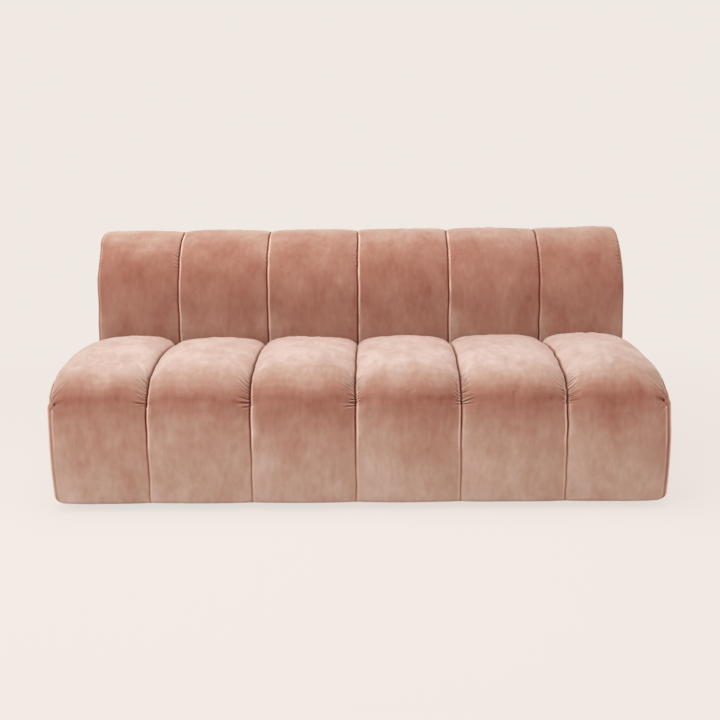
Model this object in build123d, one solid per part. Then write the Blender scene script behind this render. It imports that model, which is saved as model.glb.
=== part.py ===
"""An armless sofa with six upholstered channels, each running up the front, over the seat and up the back.

The sofa stands on the floor at z = 0 and faces -Y.  X runs along its width, and the origin is under the
middle of its box.  Sizes are millimetres.  A "seam" is the valley between two channels.  The side profiles
are drawn at the depth of the seams: the crowns stand out from them, and the pads reach in from them.
"""

import math
import os

from build123d import *

# ---- the channels ---------------------------------------------------------------------------------
channel_count = 6
channel_pitch = 300.0        # seam to seam
end_channel_width = 280.0    # the channel at either end, from its inner seam to the end seam
shoulder_radius = 38.0       # a channel's roll down into its seam
shoulder_angle = 58.0        # slope of the cover where it enters the seam, degrees
crown_angle = 7.0            # slope where the shoulder meets the flat crown, degrees
cover_thickness = 3.0        # velvet with its backing
pad_depth = 30.0             # from a seam down to what the channel pad lies on

# ---- the side profile -----------------------------------------------------------------------------
floor_gap = 20.0             # floor to the lower edge of the upholstery
seat_height = 446.0          # floor to the highest line of the seat
seat_slope = 9.0             # rise and fall of the domed seat, degrees
front_edge_radius = 120.0    # the seat's roll over its front edge
seat_rear_radius = 40.0      # the seat's roll down into the crevice
back_face = 605.0            # front seams to the seams of the back's face
crevice_gap = 1.0            # between the seat and the back, crown to crown
overall_height = 772.0
back_roll_radius = 205.0     # the back's large front roll
back_rear_radius = 60.0      # its smaller rear roll
rear_drop = 30.0             # the channels run this far down the rear face
crevice_blend = 26.0         # slope of the side panel from the seat up to the back
side_bulge = 15.0            # an end panel stands out this far from the end seam
side_roundness = 12.0        # radius of its outer edge

# ---- the wooden frame -----------------------------------------------------------------------------
panel_thickness = 18.0       # plywood end and inner frames
panel_ease = 15.0            # chamfer along the end frames' lower outer edge
board_inset = 12.0           # the boards and the dust cover stop this far inside the end seams
front_board_thickness = 9.0
rear_board_thickness = 4.0
rail_thickness = 25.0
seat_rail_height = 70.0
bottom_rail_height = 60.0
back_rail_height = 60.0
inner_frame_drop = 15.0      # inner frames stay this far below the rails, clear of the springs
lumbar_lift = 20.0           # lumbar rail above the underside of the seat foam
inner_frame_pitch = 600.0    # from one inner frame to the other
corner_block_leg = 60.0
corner_block_height = 50.0
foot_block_side = 90.0
foot_block_height = 40.0

# ---- the suspension -------------------------------------------------------------------------------
springs_per_bay = 5
spring_wire = 3.8            # diameter
spring_width = 50.0          # outside of the zigzag
spring_bar_pitch = 22.0      # nominal, from one crossbar to the next
clip_length = 18.0
clip_depth = 12.0
clip_height = 6.0
wire_clearance = 0.1
tie_wire = 3.0               # diameter
tie_wire_end_gap = 6.0
insulator_thickness = 4.0
straps_per_bay = 5
strap_width = 50.0
strap_thickness = 2.0

# ---- the foam -------------------------------------------------------------------------------------
core_edge_height = 8.0       # upright part of the seat foam's front edge
back_core_thickness = 18.0

# ---- covers under and behind ----------------------------------------------------------------------
hem_depth = 54.0             # cover folded under, from the pads' inner face
dust_cover_thickness = 1.0
dust_cover_clearance = 0.3

# ---- feet and fasteners ---------------------------------------------------------------------------
foot_top_diameter = 56.0
foot_bottom_diameter = 48.0
foot_inset_x = 72.0          # end seam to the foot's centre
foot_inset_y = 125.0         # front and rear seams to the foot's centre
glide_diameter = 42.0
glide_thickness = 3.0
foot_screw_diameter = 6.0
foot_screw_length = 45.0
foot_screw_head_diameter = 13.0
foot_screw_head_height = 4.0
foot_recess_depth = 12.0     # the screw head's recess, from the foot's underside
foot_hole_clearance = 0.2
pilot_clearance = 0.05
screw_diameter = 5.0
screw_length = 60.0
screw_head_diameter = 10.0
screw_head_height = 2.5
screw_shares = (0.4, 0.8)    # where they sit in a rail's height

# ---- places worked out from the sizes --------------------------------------------------------------


def arch_rise(half_width, radius):
    """Height of a channel's arch above its seams."""
    a0, a1 = math.radians(shoulder_angle), math.radians(crown_angle)
    crown_radius = (half_width - radius * (math.sin(a0) - math.sin(a1))) / math.sin(a1)
    return radius * (math.cos(a1) - math.cos(a0)) + crown_radius * (1 - math.cos(a1))


crown = arch_rise(channel_pitch / 2, shoulder_radius)
half_width = (channel_count / 2 - 1) * channel_pitch + end_channel_width
seam_depth = back_face + back_roll_radius + back_rear_radius
front_y = -seam_depth / 2
rear_y = seam_depth / 2
back_y = front_y + back_face
crevice_y = back_y - crown - crevice_gap / 2
dive_y = back_y - 2 * crown - crevice_gap

slope = math.radians(seat_slope)
seat_start_y = front_y + front_edge_radius * (1 - math.sin(slope))
seat_end_y = dive_y - seat_rear_radius * (1 - math.sin(slope))
seat_radius = (seat_end_y - seat_start_y) / (2 * math.sin(slope))
seat_seam_z = seat_height - crown
edge_centre_z = seat_seam_z - seat_radius * (1 - math.cos(slope)) - front_edge_radius * math.cos(slope)
seat_end_z = edge_centre_z + front_edge_radius * math.cos(slope)
dive_start_z = seat_end_z - seat_rear_radius * math.cos(slope)
crevice_z = seat_end_z - (crevice_y - seat_end_y) * math.tan(slope)

frame_bottom = floor_gap + cover_thickness
core_bottom = edge_centre_z - core_edge_height
insulator_bottom = core_bottom - insulator_thickness
rail_top = insulator_bottom - clip_height
spring_z = rail_top + clip_height / 2

back_top_z = overall_height - crown
back_straight_top = back_top_z - back_roll_radius
roll_y = back_y + back_roll_radius
rear_roll_z = back_top_z - back_rear_radius
rear_seam_z = rear_roll_z - rear_drop

board_y = front_y + pad_depth
frame_front_y = board_y + front_board_thickness
frame_rear_y = rear_y - pad_depth
back_frame_y = back_y + pad_depth + back_core_thickness
back_rail_y = back_frame_y + strap_thickness
inner_face_x = half_width - panel_thickness
board_half = half_width - board_inset
hem_front_y = board_y + hem_depth
hem_rear_y = frame_rear_y - hem_depth

# Every rail as its lower corner in Y and Z and its height.
rails = {
    "front_top_rail": (frame_front_y, rail_top - seat_rail_height, seat_rail_height),
    "front_bottom_rail": (frame_front_y, frame_bottom, bottom_rail_height),
    "seat_rear_rail": (crevice_y - rail_thickness / 2, rail_top - seat_rail_height, seat_rail_height),
    "rear_bottom_rail": (frame_rear_y - rail_thickness, frame_bottom, bottom_rail_height),
    "lumbar_rail": (back_rail_y, core_bottom + lumbar_lift, back_rail_height),
    "back_front_rail": (back_rail_y, back_straight_top - back_rail_height, back_rail_height),
    "back_top_rail": (frame_rear_y - rail_thickness, rear_seam_z - back_rail_height, back_rail_height),
}

foot_top_z = frame_bottom - dust_cover_thickness
foot_xs = (foot_inset_x - half_width, 0.0, half_width - foot_inset_x)
foot_ys = (front_y + foot_inset_y, rear_y - foot_inset_y)
foot_places = [(x, y) for x in foot_xs for y in foot_ys]
# The edges of the three bays between the end frames and the two inner frames.
bays = [
    (-inner_face_x, -inner_frame_pitch / 2 - panel_thickness / 2),
    (-inner_frame_pitch / 2 + panel_thickness / 2, inner_frame_pitch / 2 - panel_thickness / 2),
    (inner_frame_pitch / 2 + panel_thickness / 2, inner_face_x),
]


def spread(count):
    """X places of so many like pieces, evenly spaced in each bay."""
    return [low + (high - low) * (i + 0.5) / count for low, high in bays for i in range(count)]


# ---- drawing helpers -------------------------------------------------------------------------------


def box(x, y, z):
    """A block between two corners given as (low, high) pairs."""
    size = (x[1] - x[0], y[1] - y[0], z[1] - z[0])
    return Pos((x[0] + x[1]) / 2, (y[0] + y[1]) / 2, (z[0] + z[1]) / 2) * Box(*size)


def rod(radius, start, direction, length):
    """A round bar from a point along a direction."""
    plane = Plane(origin=start, z_dir=direction)
    return Solid.extrude(Face(Wire(Edge.make_circle(radius, plane))), plane.z_dir * length)


def side_run(start, heading, moves, inset=0.0):
    """Edges of a side profile in the YZ plane, moved inwards by inset.

    A move is a straight length, or a (radius, degrees) bend towards the rear and down.
    """
    h = math.radians(heading)
    y = start[0] + inset * math.sin(h)
    z = start[1] - inset * math.cos(h)
    edges = []
    for move in moves:
        if isinstance(move, tuple):
            radius = move[0] - inset
            turn = math.radians(move[1])
            centre = (y + radius * math.sin(h), z - radius * math.cos(h))
            middle, end = (
                (centre[0] - radius * math.sin(k), centre[1] + radius * math.cos(k))
                for k in (h - turn / 2, h - turn)
            )
            edges.append(ThreePointArc((0, y, z), (0, *middle), (0, *end)))
            h -= turn
        else:
            end = (y + move * math.cos(h), z + move * math.sin(h))
            edges.append(Line((0, y, z), (0, *end)))
        y, z = end
    return edges


def end_point(edges):
    """(y, z) where a side run ends."""
    p = edges[-1] @ 1
    return p.Y, p.Z


def side_face(edges):
    """A face in the YZ plane bounded by a side run and its closing straight line."""
    first, last = edges[0] @ 0, edges[-1] @ 1
    return make_face([*edges, Line(last, first)])


def side_polyline(points):
    """Straight edges in the YZ plane through (y, z) points."""
    return [Line((0, *a), (0, *b)) for a, b in zip(points, points[1:])]


def plate(face, x0, x1):
    """A YZ face given the thickness from x0 to x1."""
    return Pos(x0, 0, 0) * extrude(face, amount=x1 - x0, dir=(1, 0, 0))


def arch(half, base, radius):
    """A channel's arch from (-half, base) to (half, base): two shoulders and a crown, tangent to each other."""
    a0, a1 = math.radians(shoulder_angle), math.radians(crown_angle)
    shoulder_x = -half + radius * math.sin(a0)
    shoulder_y = base - radius * math.cos(a0)

    def on_shoulder(a, side):
        return side * (shoulder_x - radius * math.sin(a)), shoulder_y + radius * math.cos(a)

    top = (0, base + arch_rise(half, radius))
    return [
        ThreePointArc(on_shoulder(a0, 1), on_shoulder((a0 + a1) / 2, 1), on_shoulder(a1, 1)),
        ThreePointArc(on_shoulder(a1, 1), top, on_shoulder(a1, -1)),
        ThreePointArc(on_shoulder(a1, -1), on_shoulder((a0 + a1) / 2, -1), on_shoulder(a0, -1)),
    ]


pad_base = -cover_thickness * math.cos(math.radians(shoulder_angle))


def pad_section(width):
    """Foam of one channel, cut across: flat below, arched above."""
    pad_half = width / 2 - cover_thickness
    return make_face([
        *arch(pad_half, pad_base, shoulder_radius - cover_thickness),
        Polyline((pad_half, pad_base), (pad_half, -pad_depth), (-pad_half, -pad_depth), (-pad_half, pad_base)),
    ])


def cover_section(width):
    """Cover of one channel, cut across: it turns down at each seam, where it is sewn to its backing."""
    half = width / 2
    pad_half = half - cover_thickness
    return make_face([
        *arch(half, 0, shoulder_radius),
        Polyline((half, 0), (half, -pad_depth), (pad_half, -pad_depth), (pad_half, pad_base)),
        *arch(pad_half, pad_base, shoulder_radius - cover_thickness),
        Polyline((-half, 0), (-half, -pad_depth), (-pad_half, -pad_depth), (-pad_half, pad_base)),
    ])


def whole_section(width):
    """Pad and cover together, for the caps that close a channel's end."""
    half = width / 2
    return make_face([
        *arch(half, 0, shoulder_radius),
        Polyline((half, 0), (half, -pad_depth), (-half, -pad_depth), (-half, 0)),
    ])


def section_plane(y, z, heading):
    """The plane across a side run, with its local Y pointing out of the upholstery."""
    h = math.radians(heading)
    return Plane(origin=(0, y, z), x_dir=(-1, 0, 0), z_dir=(0, math.cos(h), math.sin(h)))


def along(section, start, edges):
    """A section carried along an upward side run."""
    return sweep(section_plane(*start, 90) * section, path=Wire([e.edge() for e in edges]))


# ---- channels --------------------------------------------------------------------------------------

seat_start = (front_y, frame_bottom)
seat_moves = [
    edge_centre_z - frame_bottom,
    (front_edge_radius, 90 - seat_slope),
    (seat_radius, 2 * seat_slope),
    (seat_rear_radius, 90 - seat_slope),
    dive_start_z - core_bottom,
]
back_start = (back_y, core_bottom)
back_moves = [
    back_straight_top - core_bottom,
    (back_roll_radius, 90),
    (back_rear_radius, 90),
    rear_drop - cover_thickness,
]


def seat_pad(width):
    return along(pad_section(width), seat_start, side_run(seat_start, 90, seat_moves))


def back_pad(width):
    return along(pad_section(width), back_start, side_run(back_start, 90, back_moves))


def seat_cover(width):
    """The sleeve over a seat pad, with its lower end folded under the frame."""
    sleeve = along(cover_section(width), seat_start, side_run(seat_start, 90, seat_moves))
    flat = Plane(origin=(0, front_y, floor_gap), x_dir=(-1, 0, 0), z_dir=(0, 0, 1)) * whole_section(width)
    cap = extrude(flat, amount=cover_thickness, dir=(0, 0, 1))
    hem = box((-width / 2, width / 2), (board_y, hem_front_y), (floor_gap, frame_bottom))
    return sleeve + cap + hem


def back_cover(width):
    """The sleeve over a back pad, closed where it meets the plain rear panel."""
    sleeve = along(cover_section(width), back_start, side_run(back_start, 90, back_moves))
    end = section_plane(rear_y, rear_seam_z + cover_thickness, -90) * whole_section(width)
    return sleeve + extrude(end, amount=cover_thickness, dir=(0, 0, -1))


def channels():
    """(centre X, width) of every channel, from the left."""
    widths = [end_channel_width, *[channel_pitch] * (channel_count - 2), end_channel_width]
    return [(sum(widths[:i]) + width / 2 - half_width, width) for i, width in enumerate(widths)]


# ---- foam cores ------------------------------------------------------------------------------------


def seat_foam_core():
    """Domed foam block under the channels of the seat."""
    start = (front_y, core_bottom)
    moves = [core_edge_height, *seat_moves[1:]]
    face = side_face(side_run(start, 90, moves, inset=pad_depth))
    return plate(face, -half_width, half_width)


def back_foam_core():
    """Foam sheet up the front of the back frame and over its large roll."""
    moves = [back_straight_top - core_bottom, (back_roll_radius, 90)]
    outer = side_run(back_start, 90, moves, inset=pad_depth)
    inner = side_run(back_start, 90, moves, inset=pad_depth + back_core_thickness)
    ends = [Line(outer[0] @ 0, inner[0] @ 0), Line(outer[-1] @ 1, inner[-1] @ 1)]
    return plate(make_face([*outer, *inner, *ends]), -half_width, half_width)


# ---- side panels -----------------------------------------------------------------------------------


def seat_side_edges(inset):
    """Outline of the seat's end panel."""
    start = (front_y, floor_gap)
    top = side_run(
        start,
        90,
        [edge_centre_z - floor_gap, (front_edge_radius, 90 - seat_slope), (seat_radius, 2 * seat_slope)],
        inset,
    )
    y, z = end_point(top)
    rear = crevice_y - inset
    corner_z = z - (rear - y) * math.tan(slope)
    bottom = floor_gap + inset
    top[0] = Line((0, front_y + inset, bottom), top[0] @ 1)
    closing = [(y, z), (rear, corner_z), (rear, bottom), (front_y + inset, bottom)]
    return [*top, *side_polyline(closing)]


def back_side_edges(inset):
    """Outline of the back's end panel."""
    bottom = floor_gap + inset
    near = crevice_y + inset
    step = math.tan(math.radians(22.5)) * inset
    lower = side_polyline([
        (near, bottom),
        (near, crevice_z - step),
        (back_y + inset, crevice_z + crevice_blend - step),
        (back_y + inset, back_straight_top),
    ])
    roll = side_run(
        (back_y, back_straight_top), 90, [(back_roll_radius, 90), (back_rear_radius, 90)], inset
    )
    y, z = end_point(roll)
    return [*lower, *roll, *side_polyline([(y, z), (y, bottom), (near, bottom)])]


def end_panel(edges, side, reach, roundness):
    """A padded end panel: an outline given depth outwards from the end seam, with a rounded outer edge."""
    block = plate(make_face(edges), half_width, half_width + reach)
    outer = block.faces().sort_by(Axis.X)[-1]
    block = fillet(outer.edges(), roundness)
    return block if side > 0 else mirror(block, about=Plane.YZ)


def side_pad(edges_at, side):
    reach = side_bulge - cover_thickness
    return end_panel(edges_at(cover_thickness), side, reach, side_roundness - cover_thickness)


def side_cover(edges_at, side):
    return end_panel(edges_at(0.0), side, side_bulge, side_roundness) - side_pad(edges_at, side)


# ---- wooden frame ----------------------------------------------------------------------------------


def frame_outline(seat_top):
    """Outline of an end or inner frame: the seat box, then the back with its rolled top."""
    inset = pad_depth + back_core_thickness
    roll = side_run((back_y, back_straight_top), 90, [(back_roll_radius, 90)], inset)
    rear = side_run((roll_y, back_top_z), 0, [(back_rear_radius, 90)], pad_depth)
    lower = [
        (frame_front_y, frame_bottom),
        (frame_front_y, seat_top),
        (back_frame_y, seat_top),
        (back_frame_y, back_straight_top),
    ]
    step = Line(roll[-1] @ 1, rear[0] @ 0)
    closing = [(frame_rear_y, rear_roll_z), (frame_rear_y, frame_bottom), (frame_front_y, frame_bottom)]
    return make_face([*side_polyline(lower), *roll, step, *rear, *side_polyline(closing)])


def rail_span(name):
    """Y and Z ranges of a rail."""
    y, z, height = rails[name]
    return (y, y + rail_thickness), (z, z + height)


def screw_places():
    """(y, z) of the two screws in each rail's end."""
    for name in rails:
        (y0, y1), (z0, z1) = rail_span(name)
        for share in screw_shares:
            yield (y0 + y1) / 2, z0 + (z1 - z0) * share


def wood_screw(clearance=0.0):
    """A countersunk screw along -X with its head flush at the origin."""
    head = Plane(origin=(0, 0, 0), z_dir=(-1, 0, 0)) * Pos(0, 0, screw_head_height / 2) * Cone(
        screw_head_diameter / 2 + clearance, screw_diameter / 2 + clearance, screw_head_height
    )
    return head + rod(screw_diameter / 2 + clearance, (0, 0, 0), (-1, 0, 0), screw_length)


def frame_screws(clearance=0.0):
    """All the screws that hold the rails to the two end frames."""
    one = wood_screw(clearance)
    right = [Pos(half_width, y, z) * one for y, z in screw_places()]
    return right + [mirror(s, about=Plane.YZ) for s in right]


def end_frame(side):
    """Plywood end of the frame, drilled for the rail screws, its lower outer edge eased for the cover."""
    body = plate(frame_outline(core_bottom), inner_face_x, half_width)
    lower_edge = body.edges().filter_by(Axis.Y).group_by(Axis.Z)[0].sort_by(Axis.X)[-1]
    body = chamfer(lower_edge, panel_ease)
    holes = [Pos(half_width, y, z) * wood_screw(pilot_clearance) for y, z in screw_places()]
    body = body - holes
    return body if side > 0 else mirror(body, about=Plane.YZ)


def inner_frame(side):
    """Plywood rib with a notch for every rail that crosses it."""
    x = side * inner_frame_pitch / 2
    half = panel_thickness / 2
    body = plate(frame_outline(rail_top - inner_frame_drop), x - half, x + half)
    notches = []
    for name in rails:
        (y0, y1), z = rail_span(name)
        near = back_frame_y if y0 == back_rail_y else y0
        notches.append(box((x - panel_thickness, x + panel_thickness), (near, y1), z))
    return body - notches


def rail(name):
    """A solid wood rail between the end frames, drilled at both ends for its screws."""
    y, z = rail_span(name)
    body = box((-inner_face_x, inner_face_x), y, z)
    near = [
        (sy, sz) for sy, sz in screw_places() if y[0] < sy < y[1] and z[0] < sz < z[1]
    ]
    radius = screw_diameter / 2 + pilot_clearance
    depth = screw_length - panel_thickness + pilot_clearance
    for sy, sz in near:
        body -= rod(radius, (inner_face_x, sy, sz), (-1, 0, 0), depth)
        body -= rod(radius, (-inner_face_x, sy, sz), (1, 0, 0), depth)
    return body


def front_board():
    return box((-board_half, board_half), (board_y, frame_front_y), (frame_bottom, core_bottom))


def rear_board():
    y = (frame_rear_y, frame_rear_y + rear_board_thickness)
    return box((-board_half, board_half), y, (frame_bottom, rear_seam_z))


def corner_blocks():
    """Triangular glue blocks where the two seat rails meet the end frames."""
    front = frame_front_y + rail_thickness
    rear = rails["seat_rear_rail"][0]
    z = rail_top - inner_frame_drop - corner_block_height
    blocks = []
    for y, way in ((front, 1), (rear, -1)):
        for side in (1, -1):
            x = side * inner_face_x
            outline = Polyline(
                (x, y, z), (x - side * corner_block_leg, y, z), (x, y + way * corner_block_leg, z), close=True
            )
            blocks.append(extrude(make_face(outline), amount=corner_block_height, dir=(0, 0, 1)))
    return blocks


def foot_blocks():
    """Blocks behind the bottom rails that the feet screw into."""
    front = frame_front_y + rail_thickness
    rear = frame_rear_y - rail_thickness
    blocks = []
    for x, y in foot_places:
        if x == 0:
            span = (-foot_block_side / 2, foot_block_side / 2)
        elif x > 0:
            span = (inner_face_x - foot_block_side, inner_face_x)
        else:
            span = (-inner_face_x, foot_block_side - inner_face_x)
        depth = (front, front + foot_block_side) if y < 0 else (rear - foot_block_side, rear)
        block = box(span, depth, (frame_bottom, frame_bottom + foot_block_height))
        blocks.append(block - foot_screw_rod(x, y, pilot_clearance))
    return blocks


# ---- suspension ------------------------------------------------------------------------------------

spring_front_y = frame_front_y + rail_thickness / 2
spring_rear_y = crevice_y


def seat_spring():
    """One zigzag spring, laid flat from the front seat rail to the rear one."""
    bars = 2 * round((spring_rear_y - spring_front_y) / spring_bar_pitch / 2) + 1
    pitch = (spring_rear_y - spring_front_y) / (bars - 1)
    reach = (spring_width - spring_wire - pitch) / 2
    edges = []
    for i in range(bars):
        y = spring_front_y + i * pitch
        way = 1 if i % 2 == 0 else -1
        edges.append(Line((-way * reach, y, spring_z), (way * reach, y, spring_z)))
        if i < bars - 1:
            turn = [(way * reach, y), (way * (reach + pitch / 2), y + pitch / 2), (way * reach, y + pitch)]
            edges.append(ThreePointArc(*[(px, py, spring_z) for px, py in turn]))
    path = Wire([e.edge() for e in edges])
    section = Plane(origin=(-reach, spring_front_y, spring_z), z_dir=(1, 0, 0)) * Circle(spring_wire / 2)
    return sweep(section, path=path)


def spring_clips():
    """A steel clip over each end bar of each spring."""
    clips = []
    for y in (spring_front_y, spring_rear_y):
        body = box((-clip_length / 2, clip_length / 2), (y - clip_depth / 2, y + clip_depth / 2),
                   (rail_top, insulator_bottom))
        body -= rod(spring_wire / 2 + wire_clearance, (-clip_length, y, spring_z), (1, 0, 0), 2 * clip_length)
        clips += [Pos(x, 0, 0) * body for x in spread(springs_per_bay)]
    return clips


def spring_tie_wires():
    """Two straight wires under the springs that keep them in line."""
    z = spring_z - spring_wire / 2 - tie_wire / 2 - wire_clearance
    span = spring_rear_y - spring_front_y
    half = inner_face_x - tie_wire_end_gap
    places = [spring_front_y + span / 3, spring_front_y + span * 2 / 3]
    return [rod(tie_wire / 2, (-half, y, z), (1, 0, 0), 2 * half) for y in places]


def spring_insulator():
    """Felt sheet between the springs and the foam."""
    x = (-inner_face_x, inner_face_x)
    return box(x, (frame_front_y, back_frame_y), (insulator_bottom, core_bottom))


def back_webbing():
    """Upright elastic straps on the face of the two back rails."""
    low = rails["lumbar_rail"][1]
    z = (low, back_straight_top)
    y = (back_frame_y, back_rail_y)
    return [box((x - strap_width / 2, x + strap_width / 2), y, z) for x in spread(straps_per_bay)]


# ---- rear and underside ----------------------------------------------------------------------------


def rear_padding():
    y = (frame_rear_y + rear_board_thickness, rear_y - cover_thickness)
    return box((-half_width, half_width), y, (frame_bottom, rear_seam_z))


def outside_back_cover():
    """Plain rear panel with its lower edge folded under the frame."""
    x = (-half_width, half_width)
    panel = box(x, (rear_y - cover_thickness, rear_y), (floor_gap, rear_seam_z))
    return panel + box(x, (hem_rear_y, rear_y), (floor_gap, frame_bottom))


def dust_cover():
    """Black sheet stapled under the frame between the two hems."""
    x = board_half
    y = (hem_front_y + dust_cover_clearance, hem_rear_y - dust_cover_clearance)
    sheet = box((-x, x), y, (foot_top_z, frame_bottom))
    return sheet - [foot_screw_rod(fx, fy, foot_hole_clearance) for fx, fy in foot_places]


# ---- feet ------------------------------------------------------------------------------------------

foot_screw_seat_z = glide_thickness + foot_recess_depth


def foot_screw_rod(x, y, clearance=0.0):
    """The shank of a foot screw."""
    radius = foot_screw_diameter / 2 + clearance
    return rod(radius, (x, y, foot_screw_seat_z), (0, 0, 1), foot_screw_length + clearance)


def foot(x, y):
    """Round tapered foot, recessed below for its screw."""
    height = foot_top_z - glide_thickness
    body = Pos(x, y, glide_thickness + height / 2) * Cone(foot_bottom_diameter / 2, foot_top_diameter / 2, height)
    body -= rod(foot_screw_head_diameter / 2 + foot_hole_clearance, (x, y, glide_thickness), (0, 0, 1),
                foot_recess_depth)
    return body - foot_screw_rod(x, y, foot_hole_clearance)


def foot_screw(x, y):
    """Pan-head screw up through a foot into its block."""
    head = rod(foot_screw_head_diameter / 2, (x, y, foot_screw_seat_z - foot_screw_head_height), (0, 0, 1),
               foot_screw_head_height)
    return head + foot_screw_rod(x, y)


def glide(x, y):
    return rod(glide_diameter / 2, (x, y, 0), (0, 0, 1), glide_thickness)


# ---- writing the parts -----------------------------------------------------------------------------


def build():
    """Every node by name, as one shape or a list of separate pieces."""
    nodes = {name: rail(name) for name in rails}
    nodes["left_end_frame"] = end_frame(-1)
    nodes["right_end_frame"] = end_frame(1)
    nodes["inner_frames"] = [inner_frame(-1), inner_frame(1)]
    nodes["front_board"] = front_board()
    nodes["rear_board"] = rear_board()
    nodes["corner_blocks"] = corner_blocks()
    nodes["foot_blocks"] = foot_blocks()
    nodes["frame_screws"] = frame_screws()
    spring = seat_spring()
    nodes["seat_springs"] = [Pos(x, 0, 0) * spring for x in spread(springs_per_bay)]
    nodes["spring_clips"] = spring_clips()
    nodes["spring_tie_wires"] = spring_tie_wires()
    nodes["spring_insulator"] = spring_insulator()
    nodes["back_webbing"] = back_webbing()
    nodes["seat_foam_core"] = seat_foam_core()
    nodes["back_foam_core"] = back_foam_core()
    for name, maker in (
        ("seat_pad", seat_pad),
        ("seat_cover", seat_cover),
        ("back_pad", back_pad),
        ("back_cover", back_cover),
    ):
        made = {width: maker(width) for width in {width for _, width in channels()}}
        for i, (x, width) in enumerate(channels(), start=1):
            nodes[f"{name}_{i}"] = Pos(x, 0, 0) * made[width]
    for side, word in ((-1, "left"), (1, "right")):
        nodes[f"{word}_seat_side_pad"] = side_pad(seat_side_edges, side)
        nodes[f"{word}_back_side_pad"] = side_pad(back_side_edges, side)
        nodes[f"{word}_seat_side_cover"] = side_cover(seat_side_edges, side)
        nodes[f"{word}_back_side_cover"] = side_cover(back_side_edges, side)
    nodes["rear_padding"] = rear_padding()
    nodes["outside_back_cover"] = outside_back_cover()
    nodes["dust_cover"] = dust_cover()
    nodes["feet"] = [foot(x, y) for x, y in foot_places]
    nodes["foot_screws"] = [foot_screw(x, y) for x, y in foot_places]
    nodes["foot_glides"] = [glide(x, y) for x, y in foot_places]
    return nodes


def write(nodes):
    os.makedirs("parts", exist_ok=True)
    for name, shape in nodes.items():
        pieces = shape if isinstance(shape, list) else [shape]
        solids = [s for piece in pieces for s in piece.solids()]
        export_step(solids[0] if len(solids) == 1 else Compound(children=solids), f"parts/{name}.step")


write(build())
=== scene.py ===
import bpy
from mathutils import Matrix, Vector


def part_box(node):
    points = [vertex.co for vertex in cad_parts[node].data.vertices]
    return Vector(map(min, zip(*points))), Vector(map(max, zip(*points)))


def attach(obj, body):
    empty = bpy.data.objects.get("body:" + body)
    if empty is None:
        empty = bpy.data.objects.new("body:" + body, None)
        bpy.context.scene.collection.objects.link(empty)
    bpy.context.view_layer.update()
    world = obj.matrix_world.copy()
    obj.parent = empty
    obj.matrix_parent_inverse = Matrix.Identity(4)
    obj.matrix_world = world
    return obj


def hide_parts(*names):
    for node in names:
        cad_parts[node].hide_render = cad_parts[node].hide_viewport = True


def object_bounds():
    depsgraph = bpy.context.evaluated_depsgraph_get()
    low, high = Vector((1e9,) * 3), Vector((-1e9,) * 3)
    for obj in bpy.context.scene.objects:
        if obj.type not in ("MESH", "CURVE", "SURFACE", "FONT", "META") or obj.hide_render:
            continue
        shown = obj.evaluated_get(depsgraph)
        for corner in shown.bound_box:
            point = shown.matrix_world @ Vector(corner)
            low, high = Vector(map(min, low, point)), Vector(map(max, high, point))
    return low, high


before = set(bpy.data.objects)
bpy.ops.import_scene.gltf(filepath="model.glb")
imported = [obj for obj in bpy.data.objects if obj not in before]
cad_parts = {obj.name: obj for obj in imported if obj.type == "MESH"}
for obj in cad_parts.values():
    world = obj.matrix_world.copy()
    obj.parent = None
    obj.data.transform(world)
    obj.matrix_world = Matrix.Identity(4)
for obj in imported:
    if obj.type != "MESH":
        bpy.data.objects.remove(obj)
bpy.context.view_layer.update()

import math

import bpy
import mathutils
import numpy as np

# ---- bare timber, boards and metal inside ----
# The frame of a real sofa is sawn pine rails and plywood ends, glued and screwed, under a hardboard rear.
# Nothing of it shows once the covers are on, so these pieces keep the shapes they have in the frame.


class Shade:
    """A socket in a Tree, so that shader maths can be written as an expression."""

    def __init__(self, tree, socket):
        self.tree, self.socket = tree, socket

    def maths(self, operation, *values, clamp=False):
        return self.tree.value("ShaderNodeMath", values, operation=operation, use_clamp=clamp)

    def __add__(self, other):
        return self.maths("ADD", self, other)

    __radd__ = __add__

    def __mul__(self, other):
        return self.maths("MULTIPLY", self, other)

    def __sub__(self, other):
        return self.maths("SUBTRACT", self, other)

    def __rsub__(self, other):
        return self.maths("SUBTRACT", other, self)

    def clip(self):
        return self.maths("ADD", self, 0.0, clamp=True)

    def step(self, low, high):
        """0 below low and 1 above high, eased between them."""
        ends = {"Value": self, "From Min": low, "From Max": high}
        return self.tree.value("ShaderNodeMapRange", ends, interpolation_type="SMOOTHSTEP")


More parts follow.
